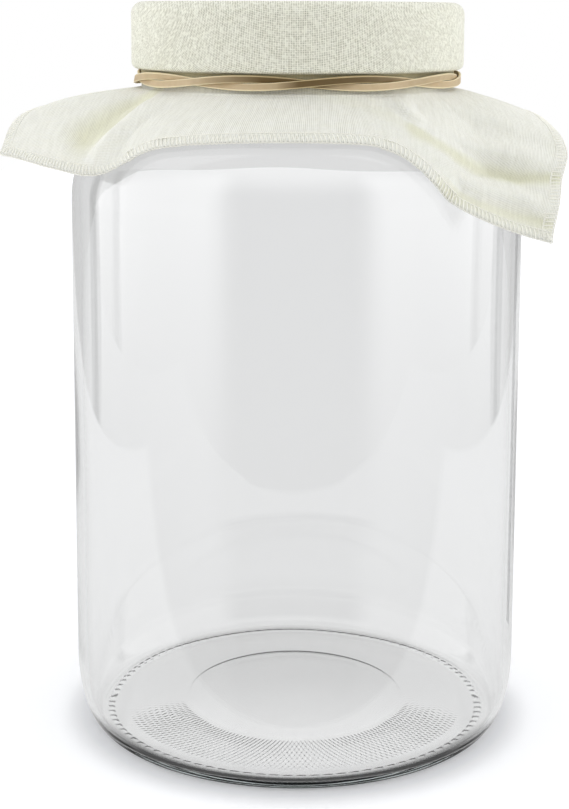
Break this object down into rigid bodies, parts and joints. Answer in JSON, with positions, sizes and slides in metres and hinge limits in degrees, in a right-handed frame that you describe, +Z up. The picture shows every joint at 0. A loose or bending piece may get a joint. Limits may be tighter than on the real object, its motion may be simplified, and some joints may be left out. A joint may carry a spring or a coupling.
{
  "type": "kombucha brewing jar",
  "caption": "Clear wide-mouth glass brewing jar with white screw lid, square cotton cloth cover and twisted rubber band holding the cloth in the neck.",
  "frame": {"origin": "centre of the underside of the jar, on the surface it stands on", "axes": "+Z up along the jar's axis, -Y towards the pictured front, +X to the right seen from the front"},
  "size_m": [0.1958, 0.1583, 0.2522],
  "materials": {
    "clear_glass": "clear moulded soda-lime glass, polished by fire, stippled bearing ring",
    "white_plastic": "satin white moulded polypropylene with fine vertical ribs",
    "liner_foam": "soft white polyethylene foam disc",
    "ivory_cotton": "fine open plain-weave cotton, undyed ivory",
    "hem_thread": "overlocked edge in ivory cotton thread",
    "natural_rubber": "natural tan rubber, slightly satin, paler cut edges"
  },
  "bodies": {
    "jar": {"glass_jar": "clear_glass"},
    "liner": {"lid_liner": "liner_foam"},
    "lid": {"screw_lid": "white_plastic"},
    "cover": {"cover_cloth": "ivory_cotton", "hem_stitching": "hem_thread"},
    "band": {"rubber_band": "natural_rubber"}
  },
  "joints": [
    {"name": "lid_rise", "type": "slide", "parent": "jar", "child": "liner", "axis": [0, 0, 1], "range_m": [0, 0.0205]},
    {"name": "lid_turn", "type": "hinge", "parent": "liner", "child": "lid", "pos_m": [0, 0, 0.2413], "axis": [0, 0, 1], "range_deg": [0, 1440]},
    {"name": "cover_lift", "type": "slide", "parent": "lid", "child": "cover", "axis": [0, 0, 1], "range_m": [0, 0.07], "deforming": ["cover_cloth", "hem_stitching"]},
    {"name": "band_lift", "type": "slide", "parent": "cover", "child": "band", "axis": [0, 0, 1], "range_m": [0, 0.04], "deforming": ["rubber_band"]}
  ],
  "couplings": [
    {"joint": "lid_rise", "follows": "lid_turn", "m_per_rad": 0.00080851}
  ]
}
